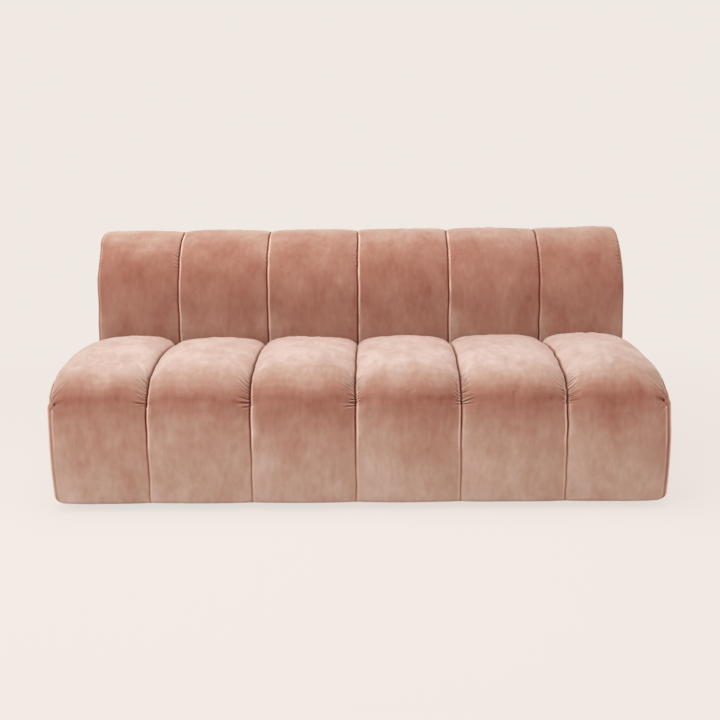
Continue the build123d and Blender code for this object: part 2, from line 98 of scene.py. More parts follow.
class Tree:
    """A node tree, with one way to add nodes: type, values or links in order or by name, then settings."""

    def __init__(self, tree):
        self.tree = tree

    def add(self, kind, values=(), **settings):
        node = self.tree.nodes.new(kind)
        for key, value in settings.items():
            setattr(node, key, value)
        return self.fill(node, values)

    def fill(self, node, values):
        for key, value in values.items() if isinstance(values, dict) else enumerate(values):
            value = getattr(value, "socket", value)
            if isinstance(value, bpy.types.NodeSocket):
                self.tree.links.new(value, node.inputs[key])
            else:
                node.inputs[key].default_value = value
        return node

    def value(self, kind, values=(), out=0, **settings):
        return Shade(self, self.add(kind, values, **settings).outputs[out])

    def finish(self, shader, base, roughness, bump):
        self.fill(shader, {"Base Color": base, "Roughness": roughness, "Normal": bump})

    def show(self, factor, a, b, output="Material Output"):
        """Ends the tree in a mix of two shaders."""
        mix = self.add("ShaderNodeMixShader", [factor, a.outputs[0], b.outputs[0]])
        self.tree.links.new(mix.outputs[0], self.tree.nodes[output].inputs[0])

    def blend(self, factor, a, b):
        """A colour between a and b."""
        return self.value("ShaderNodeMix", {0: factor, 6: a, 7: b}, out=2, data_type="RGBA")

    def place(self, scale=(1, 1, 1), rotation=(0, 0, 0)):
        """Object coordinates, scaled and turned."""
        at = self.value("ShaderNodeTexCoord", out=3)
        return self.value("ShaderNodeMapping", {"Vector": at, "Scale": scale, "Rotation": rotation})

    def noise(self, at, scale, detail=3.0, roughness=0.5, distortion=0.0):
        look = {"Scale": scale, "Detail": detail, "Roughness": roughness, "Distortion": distortion}
        return self.value("ShaderNodeTexNoise", {"Vector": at, **look})

    def bump(self, height, strength, distance):
        relief = {"Height": height, "Strength": strength, "Distance": distance}
        return self.value("ShaderNodeBump", relief)


def new_material(name):
    """An empty material with its tree and its shader."""
    material = bpy.data.materials.new(name)
    material.use_nodes = True
    return material, Tree(material.node_tree), material.node_tree.nodes["Principled BSDF"]


def colour(r, g, b):
    """A colour given as it looks on a screen, 0 to 255, for a shader."""
    def straight(v):
        v /= 255
        return v / 12.92 if v <= 0.04045 else ((v + 0.055) / 1.055) ** 2.4

    return straight(r), straight(g), straight(b), 1.0


def wood(name, light, dark, along):
    """Sawn wood whose grain runs along X, Y or Z."""
    material, tree, shader = new_material(name)
    stretch = [26.0, 26.0, 26.0]
    stretch["XYZ".index(along)] = 1.6
    rings = tree.noise(tree.place(stretch), 1.0, 6.0, 0.6, 0.7)
    fibre = tree.noise(tree.place([9 * s for s in stretch]), 1.0, 2.0)
    tone = tree.blend((rings * 1.5 - 0.35 + fibre * 0.3).clip(), light, dark)
    tree.finish(shader, tone, 0.55 + fibre * 0.25, tree.bump(fibre, 0.25, 0.0004))
    return material


def grained(
    name, tones, size, roughness, relief, depth,
    gloss=0.2, detail=2.0, fine=0.5, stretch=(1, 1, 1), metallic=0.0,
):
    """One tone, or two that a fine grain mixes. The grain also shows in the gloss and the relief."""
    material, tree, shader = new_material(name)
    grain = tree.noise(tree.place(stretch), size, detail, fine)
    tone = tree.blend(grain, *tones) if len(tones) == 2 else tones[0]
    roughness = roughness + grain * gloss if gloss else roughness
    tree.finish(shader, tone, roughness, tree.bump(grain, relief, depth))
    tree.fill(shader, {"Metallic": metallic})
    return material


def metal(name, tone, roughness):
    return grained(name, [tone], 220.0, roughness, 0.15, 0.0002, gloss=0.18, metallic=1.0)


def dress(material, *nodes):
    """Gives CAD nodes a material, in place of what they came with."""
    for name in nodes:
        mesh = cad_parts[name].data
        mesh.materials.clear()
        mesh.materials.append(material)


pine = wood("pine_rail", colour(214, 178, 126), colour(176, 134, 84), "X")
birch = wood("birch_plywood", colour(222, 196, 152), colour(190, 158, 112), "Y")
hardboard = wood("hardboard", colour(128, 92, 62), colour(96, 66, 44), "X")
dress(
    pine, "front_top_rail", "front_bottom_rail", "seat_rear_rail", "rear_bottom_rail", "lumbar_rail",
    "back_front_rail", "back_top_rail", "corner_blocks", "foot_blocks",
)
dress(birch, "left_end_frame", "right_end_frame", "inner_frames", "front_board")
dress(hardboard, "rear_board")
dress(metal("spring_wire", colour(112, 112, 118), 0.32), "seat_springs", "spring_clips", "spring_tie_wires")
dress(metal("zinc_screw", colour(186, 184, 172), 0.3), "frame_screws", "foot_screws")

# ---- foam, felt and webbing ----
# Cut foam blocks and sheets carry the covers, over a felt sheet on the springs and webbing up the back.
# They are closed in on every side by the covers.

for name, light, dark, cell_size, *nodes in (
    ("cut_foam", colour(238, 230, 200), colour(222, 208, 168), 700.0, "seat_foam_core", "back_foam_core"),
    ("needled_felt", colour(214, 212, 206), colour(182, 180, 174), 260.0, "spring_insulator"),
    ("elastic_webbing", colour(92, 84, 74), colour(58, 52, 46), 520.0, "back_webbing"),
):
    filling = grained(name, (light, dark), cell_size, 0.95, 0.4, 0.001, gloss=0, detail=4.0, fine=0.7)
    dress(filling, *nodes)

# ---- velvet ----
# One short-pile velvet covers the whole sofa. Its pile runs down the faces, so it shows brushed streaks and
# cloudy patches. Its sheen is painted into its colour: deep pink where the pile is seen straight on and pale
# where it lies flat or edge-on, with painted shade in the seams and folds and painted highlights on the lips
# beside the seams.

# Tones of the velvet's painted light, from painted shade in a fold to painted sheen.
velvet_tones = (
    (0.0, colour(124, 62, 46)),  # painted shade inside a fold
    (0.2, colour(158, 104, 88)),  # pile seen straight on
    (0.4, colour(173, 127, 110)),
    (0.6, colour(187, 153, 137)),  # painted sheen where the pile is stroked down
    (0.8, colour(202, 176, 165)),
    (1.0, colour(216, 197, 189)),  # painted sheen where the pile is seen almost edge-on
)
velvet_lip_highlight = colour(247, 211, 195)  # painted highlight on the tight lips beside the seams
velvet_fold_shade = colour(168, 62, 36)  # painted shade down in a seam or a crease, in a shader with no sheen


def velvet(name):
    """The cover's material. It reads from the mesh its painted sheen and shade and the painted highlights on
    its lips.
    """
    material, tree, shader = new_material(name)
    painted_light = tree.value("ShaderNodeAttribute", out=2, attribute_name="painted_light")
    edge = tree.value("ShaderNodeAttribute", out=2, attribute_name="edge")
    clouds = tree.noise(tree.place((1, 1, 0.75)), 7.0, 3.0, 0.55, 0.3)
    patches = tree.noise(tree.place((1, 0.8, 0.5)), 17.0, 2.0, 0.5, 0.3)
    mottle = tree.noise(tree.place((1, 0.65, 0.5)), 62.0, 3.0, 0.6)
    strokes = tree.noise(tree.place((1, 0.35, 0.6), (0, 0, 0.7)), 30.0, 2.0, 0.5, 0.2)
    streaks = tree.noise(tree.place((1, 0.45, 0.28)), 90.0, 3.0, 0.65)
    pile = tree.noise(tree.place(), 1500.0, 2.0, 0.6)
    # The painted light, with random cloudy patches, mottling, streaks and brush strokes of the pile added.
    light_and_mottle = painted_light
    for unevenness, strength in ((clouds, 0.42), (patches, 0.28), (mottle, 0.26), (streaks, 0.12)):
        light_and_mottle += (unevenness - 0.5) * strength
    light_and_mottle += (strokes - 0.5) * painted_light.step(0.6, 0.9) * 0.4
    ramp = tree.add("ShaderNodeValToRGB", {"Fac": light_and_mottle.clip()})
    tones = ramp.color_ramp.elements
    for place, _ in velvet_tones[1:-1]:
        tones.new(place)
    for tone, (_, shade) in zip(tones, velvet_tones):
        tone.color = shade
    # A painted highlight on the lips beside the seams.
    ground = tree.blend(edge.clip() * 0.9, ramp.outputs[0], velvet_lip_highlight)
    ground = tree.blend(((pile - 0.5) * 0.25 + 0.05).clip(), ground, colour(150, 96, 78))
    tree.finish(shader, ground, 0.78 + pile * 0.12, tree.bump(pile, 0.22, 0.0006))
    sheen = {"Sheen Weight": 0.45, "Sheen Roughness": 0.42, "Sheen Tint": colour(255, 226, 214)}
    tree.fill(shader, {**sheen, "Specular IOR Level": 0.15})
    # Painted shade in the seams and folds: where the painted light is low, a dull darker velvet with no
    # sheen.
    dull = {"Base Color": velvet_fold_shade, "Roughness": 1.0, "Specular IOR Level": 0.0}
    fold_shade_mask = 1.0 - painted_light.step(-0.06, 0.17)
    tree.show(fold_shade_mask, shader, tree.add("ShaderNodeBsdfPrincipled", dull))
    return material


cover_velvet = velvet("pink_velvet")


def cover(piece, fill, *stands_for):
    """Finishes a padded velvet piece: its cloth, its body and what it stands for. How full it is, fill, is
    not used.
    """
    piece.data.materials.append(cover_velvet)
    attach(piece, "root")
    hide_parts(*stands_for)


# ---- seat channels ----
# Each channel is a sewn velvet sleeve over foam, pulled down into the seams beside it and stapled under the
# frame. The seams are gathered where they turn over the front edge, so the velvet puckers there.

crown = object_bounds()[1][2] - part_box("left_back_side_cover")[1][2]
seam_xs = [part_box(f"seat_cover_{i}")[0][0] for i in range(1, 7)] + [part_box("seat_cover_6")[1][0]]
seam_shifts = (0.0, -0.0105, -0.0115, -0.008, -0.004, 0.0, 0.0)  # no two channels are sewn quite alike
seam_xs = [x + shift for x, shift in zip(seam_xs, seam_shifts)]
middles = [(left + right) / 2 for left, right in zip(seam_xs, seam_xs[1:])]
seam_gap = 0.0002  # half the gap between two channels
halves = [(right - left) / 2 - seam_gap for left, right in zip(seam_xs, seam_xs[1:])]
(_, front_y, under_z), (_, crevice_y, seat_top_z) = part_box("left_seat_side_cover")

front_roll = 0.120  # radius of the front edge, at the seams
seat_slope = 9.0  # rise and fall of the domed seat, degrees
rear_tuck = 0.040  # radius of the seat's rear edge
sleeve_depth = 0.030  # from a seam down to the inside of the channel
tuck_depth = 0.060  # how far the seat goes down behind
seam_shade = 0.0032  # width of the dark line along a seam
lip = 0.0045  # width of the tight roll beside a seam
lip_depth = 0.0065
shine_line = 0.0053  # from a seam to the bright line on its lip
shine_width = 0.0026
outer_wall_painted_light = 0.3  # painted light on the outer walls of the two end channels
taper = 0.0035  # how far the ends lean in at their lower edge
taper_height = 0.13
corner_radius = 0.023  # of the ends' lower corners
corner_width = 0.110  # how far in from the ends that reaches
pinch_z = 0.323  # where the gathering of the end seams stops
seam_sway = 0.0012  # how far the seams wander to the sides
pucker_sway = 0.0008  # and how far more where they are gathered
crest_waves, crest_ripples = 0.0018, 0.0006  # unevenness of the channels' crests
fold_height = 0.0056  # of the seat's creases
foam_share = 0.78  # of a channel's rise that is there before the velvet swells
swell_cap, swell_sink = 0.014, 0.004  # how far the velvet may swell, and sink
swell_moments = 20
velvet_cloth = {
    "vertex_group_mass": "sewn", "use_pressure": True, "uniform_pressure_force": 6.0, "quality": 4,
    "vertex_group_shrink": "fullness", "shrink_min": -0.002, "shrink_max": -0.012, "mass": 0.3,
    "tension_stiffness": 15.0, "compression_stiffness": 15.0, "shear_stiffness": 5.0,
    "bending_stiffness": 0.5, "air_damping": 2.0,
}


def share(x):
    """x held between 0 and 1."""
    return np.clip(x, 0, 1)


def smooth(x):
    """x held between 0 and 1, eased at both ends."""
    x = share(x)
    return x * x * (3 - 2 * x)


def bell(x, width):
    """1 at x = 0, fading to both sides."""
    return np.exp(-((x / width) ** 2))


def rounded(t):
    """How far a quarter round has fallen: 1 at t = 0, and 0 from t = 1 on."""
    return 1 - np.sqrt(1 - (1 - share(t)) ** 2)


def hump(x, low, high, soft):
    """1 between low and high, easing to 0 over soft on both sides."""
    return smooth(np.minimum((x - low + soft) / soft, (high + soft - x) / soft))


def between(s, table):
    """A value that follows (length, value) pairs, eased from one to the next."""
    marks, values = np.array(table).T
    i = np.clip(np.searchsorted(marks, s) - 1, 0, len(marks) - 2)
    return values[i] + (values[i + 1] - values[i]) * smooth((s - marks[i]) / (marks[i + 1] - marks[i]))


def follows(*table):
    """A function of the length along a channel that follows a table."""
    return lambda s: between(s, table)


def eased(at, marks, values):
    """Values at marks along the first axis, read smoothly at other places."""
    i = np.clip(np.searchsorted(marks, at) - 1, 0, len(marks) - 2)
    gap = (marks[i + 1] - marks[i])[:, None]
    t = (at - marks[i])[:, None] / gap
    slope = np.gradient(values, marks, axis=0)
    start = values[i] * (2 * t**3 - 3 * t**2 + 1) + slope[i] * gap * (t**3 - 2 * t**2 + t)
    return start + values[i + 1] * (3 * t**2 - 2 * t**3) + slope[i + 1] * gap * (t**3 - t**2)


def soft_noise(a, b, size, seed):
    """Smooth, repeatable unevenness between about -1 and 1."""
    rng = np.random.default_rng(seed)
    total = 0.0
    for _ in range(7):
        turn, phase, stretch = rng.uniform(0, math.tau), rng.uniform(0, math.tau), rng.uniform(0.6, 1.6)
        wave = math.tau / (size * stretch)
        total = total + np.sin(wave * (math.cos(turn) * a + math.sin(turn) * b) + phase)
    return total / 3.5


def run_along(start, moves, step=0.0006):
    """Places, outward directions and lengths along a profile of straight and bent moves, upwards first."""
    h = math.radians(90)
    here = np.array(start, float)
    places, outs, lengths = [here], [(-math.sin(h), math.cos(h))], [0.0]
    for move in moves:
        radius, bend = (move[0], math.radians(move[1])) if isinstance(move, tuple) else (0, 0)
        length = radius * bend if bend else move
        count = max(2, round(length / step))
        ahead = np.array((math.cos(h), math.sin(h)))
        centre = here + radius * np.array((math.sin(h), -math.cos(h)))
        for k in range(1, count + 1):
            turned = h - bend * k / count
            out = np.array((-math.sin(turned), math.cos(turned)))
            places.append(centre + radius * out if bend else here + ahead * length * k / count)
            outs.append(out)
            lengths.append(lengths[-1] + length / count)
        here = places[-1]
        h -= bend
    return np.array(places), np.array(outs), np.array(lengths)


def stepped(run, coarse, fine, zones):
    """The run again in coarse steps, with fine ones inside the zones along it."""
    places, outs, lengths = run
    at, stops = 0.0, [0.0]
    while at < lengths[-1]:
        at += fine if any(low <= at < high for low, high in zones) else coarse
        stops.append(min(at, lengths[-1]))
    stops = np.array(stops)
    place, out = (np.stack([np.interp(stops, lengths, v) for v in values.T], -1) for values in (places, outs))
    return place, out / np.linalg.norm(out, axis=1, keepdims=True), stops


def stand_out(run, heights):
    """The y and z of places at given heights over the run."""
    places, outs, _ = run
    return (places[:, k : k + 1] + outs[:, k : k + 1] * heights for k in (0, 1))


def across(half, fine=0.0005, growth=1.16, widest=0.0042):
    """Places across a channel, close together beside its seams."""
    steps, here, gap = [0.0], 0.0, fine
    while here + gap < half:
        here += gap
        steps.append(here)
        gap = min(gap * growth, widest)
    left = np.array(steps) * half / steps[-1] - half
    return np.concatenate((left, -left[-2::-1]))


def gathers(s, d, places, lengths, leans, widths, deep):
    """Creases that run out from a seam and open as they go: -1 in a fold, above 0 on the rolls beside it.

    s is along the seam and d away from it.
    """
    total = np.zeros_like(s)
    widths, deep = np.broadcast_to(widths, len(places)), np.broadcast_to(deep, len(places))
    for place, length, lean, width, depth in zip(places, lengths, leans, widths, deep):
        reach = share(d / length)
        middle = place + lean * d * (0.8 + 0.35 * reach)
        off = (s - middle) / (width * (0.75 + 0.7 * reach))
        fade = (1 - reach) ** 0.9 * share(d / 0.0015)
        total += depth * fade * (0.9 * bell(np.abs(off) - 1.8, 1) - bell(off, 1))
    return total


def seam_folds(number, gather, to_left, to_right, seeds, s, u, half):
    """The puckers on a channel: those to the left of its right seam, and to the right of its left seam."""
    total = np.zeros_like(s)
    for side, strength, seed in ((1, to_left[number + 1], seeds[0]), (-1, to_right[number], seeds[1])):
        if strength:
            total += gather(s, half - side * u, strength, seed + number)
    return total


def put(name, data):
    """A new object in the scene."""
    thing = bpy.data.objects.new(name, data)
    bpy.context.scene.collection.objects.link(thing)
    return thing


def put_mesh(name, points, edges=(), faces=()):
    mesh = bpy.data.meshes.new(name)
    mesh.from_pydata(points, edges, faces)
    return put(name, mesh)


def closed_tube(name, rings, uvs, painted_lights, edges):
    """A closed mesh from rings of points, with its cloth map and the painted light and lip highlight its
    material reads.
    """
    count, around = rings.shape[:2]
    index = np.arange(count * around).reshape(count, around)
    a, b = index[:-1], index[1:]
    quads = np.stack((a, np.roll(a, -1, 1), np.roll(b, -1, 1), b), -1).reshape(-1, 4)
    faces = [*quads.tolist(), index[0][::-1].tolist(), index[-1].tolist()]
    piece = put_mesh(name, rings.reshape(-1, 3).tolist(), faces=faces)
    mesh = piece.data
    for key, values in (("painted_light", painted_lights), ("edge", edges)):
        field = mesh.attributes.new(key, "FLOAT", "POINT")
        field.data.foreach_set("value", values.reshape(-1).astype(np.float32))
    cloth = mesh.uv_layers.new(name="cloth")
    corners = np.empty(len(mesh.loops), np.int32)
    mesh.loops.foreach_get("vertex_index", corners)
    cloth.data.foreach_set("uv", uvs.reshape(-1, 2)[corners].astype(np.float32).reshape(-1))
    mesh.shade_smooth()
    return piece


# How far the seat's two end seams, left and right, stand out from the outermost seam lines at each height.
seat_ends = (
    [(0.0, 0.007), (pinch_z - 0.005, 0.006), (pinch_z + 0.02, 0.013), (pinch_z + 0.08, 0.008)],
    [
        (0.0, 0.008), (0.20, 0.008), (pinch_z - 0.005, 0.004), (pinch_z + 0.02, 0.008),
        (pinch_z + 0.070, 0.003), (pinch_z + 0.098, -0.006),
    ],
)


def draw_in(x, z, ends):
    """The ends stand out as given, and lean in towards their rounded lower corners."""
    low = share(1 - (z - under_z) / taper_height)
    corner = np.clip(corner_radius - (z - under_z), 0, corner_radius * 0.97)
    pull = taper * low**1.3 + corner_radius - np.sqrt(corner_radius**2 - corner**2)
    spread = np.where(x < 0, between(z, ends[0]), between(z, ends[1]))
    end = share((np.abs(x) - (seam_xs[-1] - corner_width)) / corner_width)
    return x + np.sign(x) * (spread - pull) * end**1.5


def sway(seam, s, gathered):
    """How far a seam between two channels wanders to the side, with a small zigzag where it is gathered."""
    if seam in (0, 6):
        return 0.0 * s
    zigzag = soft_noise(s, 0.0, 0.013, 950 + seam) * hump(s, gathered, gathered + 0.09, 0.02)
    return seam_sway * soft_noise(s, 0.0, 0.11, 900 + seam) + pucker_sway * zigzag


def towards_end(number, u, half):
    """How near a place on an end channel is to the sofa's end: 0 up to its middle, 1 at the end seam."""
    return share({0: -u / half, 5: u / half}.get(number, 0 * u))


def with_inside(outside, inside, count=9):
    """Values over the outside of a piece, followed by those over its flat inside."""
    return np.concatenate((outside, np.broadcast_to(inside, (len(outside), count))), 1)


def sleeve(part, number, run, outside, painted_light, edge, ends, gathered):
    """A channel of the seat or the back, with its outside at the given heights and a flat inside."""
    lengths, half = run[2], halves[number]
    s, u = np.meshgrid(lengths, across(half), indexing="ij")
    xs = with_inside(u, np.linspace(1, -1, 9) * half)
    heights = with_inside(outside(number, s, u, half), -sleeve_depth)
    y, z = stand_out(run, heights)
    along = np.broadcast_to(lengths[:, None], heights.shape)
    to_right = (xs + half) / (2 * half)
    moved = xs + middles[number] + sway(number, along, gathered) * (1 - to_right)
    moved = moved + sway(number + 1, along, gathered) * to_right
    rings = np.stack((draw_in(moved, z, ends), y, z), -1)
    # The inside faces get no painted light, so the gaps between channels show the painted fold shade.
    inner_painted_light = np.zeros(9)
    if number in (0, 5):  # the outer walls stand over the end panels, so they keep the velvet's colour
        inner_painted_light[-1 if number == 0 else 0] = outer_wall_painted_light
    painted_lights = with_inside(painted_light(number, s, u, half), inner_painted_light)
    edges = with_inside(edge(number, s, u, half), 0.0)
    uvs = np.stack((along, xs), -1)
    channel = closed_tube(f"{part}_channel_{number + 1}", rings, uvs, painted_lights, edges)
    cover(channel, 0.85, f"{part}_cover_{number + 1}", f"{part}_pad_{number + 1}")


def crown_shape(u, half, square=0.0):
    """Rise of a channel from its seam to its middle, 0 to 1. It gets squarer as square goes from 0 to 1."""
    t = np.abs(u) / half
    return share(1 - t ** (3 + 2.2 * square)) ** (0.83 - 0.23 * square)


def sewn_sheet(points, uneven):
    """A velvet sheet, sewn down at its rim and fuller in some places, as a cloth under pressure."""
    index = np.arange(uneven.size).reshape(uneven.shape)
    quads = np.stack((index[:-1, :-1], index[:-1, 1:], index[1:, 1:], index[1:, :-1]), -1).reshape(-1, 4)
    sheet = put_mesh("swelling", points.reshape(-1, 3).tolist(), faces=quads.tolist())
    rim = np.unique(np.concatenate((index[0], index[-1], index[:, 0], index[:, -1])))
    sheet.vertex_groups.new(name="sewn").add(rim.tolist(), 1.0, "REPLACE")
    fullness = sheet.vertex_groups.new(name="fullness")
    for vertex, weight in enumerate(share(uneven).reshape(-1).tolist()):
        fullness.add([vertex], weight, "REPLACE")
    cloth = sheet.modifiers.new("swell", "CLOTH")
    for key, value in velvet_cloth.items():
        setattr(cloth.settings, key, value)
    cloth.settings.effector_weights.gravity = 0.0
    cloth.collision_settings.use_collision = False
    cloth.point_cache.frame_start, cloth.point_cache.frame_end = 1, swell_moments
    return sheet


def swell_velvet(run, seam_line, crest_line, squareness, seed):
    """Lets six velvet sheets, sewn down at their rims over the foam, swell under pressure.

    It gives the rise of each channel's section from its seam, 0, to its crest, 1, as a function of s and u.
    """
    sheet_run = stepped(run, 0.009, 0.0045, [(pinch_s - 0.02, pinch_s + 0.12)])
    _, outs, lengths = sheet_run
    low, high = seam_line(lengths)[:, None], crest_line(lengths)[:, None]
    sheets = []
    for number, half in enumerate(halves):
        u = across(half, fine=0.0025, growth=1.16, widest=0.010)
        start = low + foam_share * (high - low) * crown_shape(u[None], half, squareness(lengths)[:, None])
        points = np.stack((np.broadcast_to(u, start.shape), *stand_out(sheet_run, start)), -1)
        uneven = 0.5 + 0.5 * soft_noise(*np.meshgrid(lengths, u, indexing="ij"), 0.14, seed + number)
        sheets.append((sewn_sheet(points, uneven), half, u, points, start))
    for moment in range(1, swell_moments + 1):
        bpy.context.scene.frame_set(moment)
    ready = bpy.context.evaluated_depsgraph_get()
    near = bell(lengths[:, None] - lengths[None], 0.03)
    shapes = []
    for sheet, half, u, points, start in sheets:
        swollen = sheet.evaluated_get(ready).to_mesh()
        after = np.empty(points.size, np.float32)
        swollen.vertices.foreach_get("co", after)
        move = after.reshape(points.shape) - points
        outwards = move[..., 1] * outs[:, :1] + move[..., 2] * outs[:, 1:]
        rise = start - low + np.clip(outwards, -swell_sink, swell_cap)
        grown = rise[:, abs(u) < half * 0.3].mean(1)
        full = (near * grown[None]).sum(1) / near.sum(1)
        section = rise / full[:, None] * crown_shape(0.15 * half, half)

        def swelled(s, u, half, at=lengths, marks=u, section=section):
            return eased(u[0], marks, eased(s[:, 0], at, section).T).T

        shapes.append(swelled)
        sheet.evaluated_get(ready).to_mesh_clear()
        bpy.data.objects.remove(sheet)
    bpy.context.scene.frame_set(1)
    return shapes


slope = math.radians(seat_slope)
roll_end_y = front_y + front_roll * (1 - math.sin(slope))
tuck_start_y = crevice_y - crown - rear_tuck * (1 - math.sin(slope))
dome = (tuck_start_y - roll_end_y) / (2 * math.sin(slope))
roll_centre_z = seat_top_z - dome * (1 - math.cos(slope)) - front_roll * math.cos(slope)
face_height = roll_centre_z - under_z
seat_bends = [(front_roll, 90 - seat_slope), (dome, 2 * seat_slope), (rear_tuck, 90 - seat_slope)]
pinch_s = face_height + 0.036  # where the gathering of a seam ends, on the front
dense_run = run_along((front_y, under_z), [face_height, *seat_bends, tuck_depth])
seat_run = stepped(dense_run, 0.0042, 0.0010, [(0, 0.012), (pinch_s - 0.03, pinch_s + 0.15)])
under_round = 0.012  # radius of the lower edge
bow_s, bow = 0.205, 0.018  # height of the front's fullest line, and how far the lower edge is drawn in
end_wrap = 0.026  # width of the shoulder where an end channel wraps over its side
shoulder_wrap, shoulder_fall = 0.020, 0.013  # how far it goes down, and how much further at the right
puckers, gathered_length = 13, 0.116  # at each side of a gathered seam
knot_depth, puff_height = 0.005, 0.003  # of the hollow where a seam is pinched, and the puff under it
dimple_depth = 0.006  # at the pinch of an end seam
tight_height = 0.0022  # of the tight roll to the right of a seam, below the pinch

# How strongly each seam is gathered to its left and to its right. The end seams have folds of their own.
gather_left = (0.0, 1.0, 0.95, 1.0, 0.8, 0.75, 0.0)
gather_right = (0.0, 0.18, 0.15, 0.6, 0.9, 0.95, 0.0)

# How bright the lips stand at the left and at the right of each channel, where the pile is seen edge-on.
lip_light = ((0.6, 1.0, 1.0, 0.9, 0.35, 0.3), (0.1, 0.1, 0.15, 0.8, 0.9, 0.6))

# How bright the light lies to the right of each seam below the pinch, where the velvet turns towards it.
seam_flare = (0.0, 0.5, 1.0, 0.9, 0.5, 0.7)

# The painted light along the channel, darkest over the front roll and palest with painted sheen on the seat
# top, as lengths from the top of the front face.
seat_light_profile = [
    (-0.27, 0.69), (-0.17, 0.63), (-0.07, 0.54), (-0.02, 0.46), (0.019, 0.34), (0.045, 0.22), (0.069, 0.36),
    (0.086, 0.50), (0.109, 0.62), (0.134, 0.74), (0.171, 0.86), (0.27, 0.93), (0.38, 0.90), (0.60, 0.84),
]

# How deep the seams between seat channels are drawn in under the side profile, from the pinch on. They cut
# the corner of the front roll.
valley_depths = [
    (-0.31, 0.003), (-0.10, 0.006), (-0.03, 0.011), (0.0, 0.017), (0.03, 0.021), (0.06, 0.0222),
    (0.12, 0.0222), (0.16, 0.020), (0.22, 0.015), (0.32, 0.009), (0.50, 0.004),
]

# How dark a shade is painted along the seams, from the pinch on, and by how much less along the end seams.
seam_painted_shade = [(-0.31, 0.25), (-0.16, 0.5), (-0.06, 1.0), (0.3, 1.0), (0.6, 0.9)]
end_seam_light = [(-0.02, 0.45), (0.01, 0.8)]


def seat_valley(s):
    return between(s - pinch_s, valley_depths)


def end_valley(s):
    """The same for the two end seams."""
    valley = 0.002 + 0.013 * hump(s, pinch_s + 0.010, pinch_s + 0.07, 0.05)
    return valley + 0.004 * share((s - 0.5) / 0.25)


# How far the seat's crests stand out from its side profile, and how much further those of the two end
# channels do, which are fuller at the rear.
seat_rise = follows((0, 0.007), (0.16, 0.015), (0.35, 0.022), (0.8, 0.026))
end_rise = follows((0, 0.0), (0.42, 0.0), (0.62, 0.008), (0.90, 0.006))


def end_fall(s, side):
    """How much further the seat's right end seam falls than the left one."""
    fall = between(s, [(0, 0.0), (pinch_s + 0.02, 0.0), (pinch_s + 0.07, 0.9), (0.60, 1.0), (0.85, 0.2)])
    return fall * (0.0 if side < 0 else shoulder_fall)


def end_round(s):
    """How far down its side an end channel wraps over, above the pinch, before it meets the end panel."""
    return shoulder_wrap * share((s - pinch_s + 0.004) / 0.022) * (1 - 0.6 * share((s - 0.6) / 0.2))


def bowed(s):
    """How far the front leans back towards its lower edge and rolls under it."""
    return bow * share((bow_s - s) / bow_s) ** 2 + under_round * rounded(s / under_round)


def seat_gathers(s, d, strength, seed):
    """The puckers on one side of a seat seam."""
    rng = np.random.default_rng(seed)
    up = (np.arange(puckers) + rng.uniform(-0.3, 0.3, puckers)) / (puckers - 1)
    places = pinch_s - 0.006 + up * gathered_length
    lengths = (0.020 + 0.012 * np.sin(np.pi * share(up * 0.9 + 0.1))) * rng.uniform(0.55, 1.65, puckers)
    leans = 0.05 + 0.75 * up + rng.uniform(-0.2, 0.2, puckers)
    deep = rng.uniform(0.5, 1.35, puckers) * (1 - 0.4 * up)
    widths = rng.uniform(0.0016, 0.0029, puckers)
    return strength**0.6 * gathers(s, d, places, lengths * (0.35 + 0.65 * strength), leans, widths, deep)


def end_folds(s, d):
    """The short folds that run into the pinch of an end seam."""
    places = pinch_s + np.array((-0.010, 0.001, 0.012, 0.024))
    return gathers(s, d, places, (0.026, 0.045, 0.055, 0.036), (-0.7, 0.25, 0.9, 1.2), 0.0042, 1.0)


def seat_folds(number, s, u, half):
    total = seam_folds(number, seat_gathers, gather_left, gather_right, (101, 201), s, u, half)
    if number == 0:
        total += 0.4 * end_folds(s, half + u)
    if number == 5:
        total += 0.5 * end_folds(s, half - u)
    return total


def seat_outside(number, s, u, half):
    """How far a seat channel's velvet stands out from the side profile."""
    x = u + middles[number]
    d = half - np.abs(u)
    to_end = towards_end(number, u, half)
    end_side = share(to_end * 3)
    middle = seat_shapes[number](s, u, half)
    middle += (crown_shape(u, half) - middle) * end_side
    valley = seat_valley(s)
    valley += (end_valley(s) - valley) * end_side
    rise = seat_rise(s) + (end_rise(s) if number in (0, 5) else 0.0)
    rolled = lip_depth * between(s, [(0, 0.3), (0.10, 0.45), (0.23, 1.0), (1.0, 1.0)])
    height = -valley + (valley + rise) * middle - rolled * rounded(d / lip) - bowed(s)
    height -= end_fall(s, -1 if number == 0 else 1) * to_end**2.5
    height -= end_round(s) * rounded(half * (1 - to_end) / end_wrap)
    knot = bell(s - pinch_s, 0.009) * np.exp(-d / 0.016)
    under_knot = bell(s - pinch_s + 0.012, 0.007) * np.exp(-d / 0.012)
    dimple = bell(half * (1 - to_end) - 0.007, 0.006) * bell(s - pinch_s, 0.008)
    height = height - knot_depth * knot + puff_height * under_knot - dimple_depth * dimple
    if number > 0:
        tight = hump(s, pinch_s - 0.06, pinch_s - 0.008, 0.02)
        height += tight_height * tight * bell(half + u - 0.006, 0.0045)
    height += crest_waves * middle * soft_noise(s, x, 0.22, 11 + number)
    height += crest_ripples * middle * soft_noise(s * 0.4, x, 0.035, 31 + number)
    return height + fold_height * seat_folds(number, s, u, half)


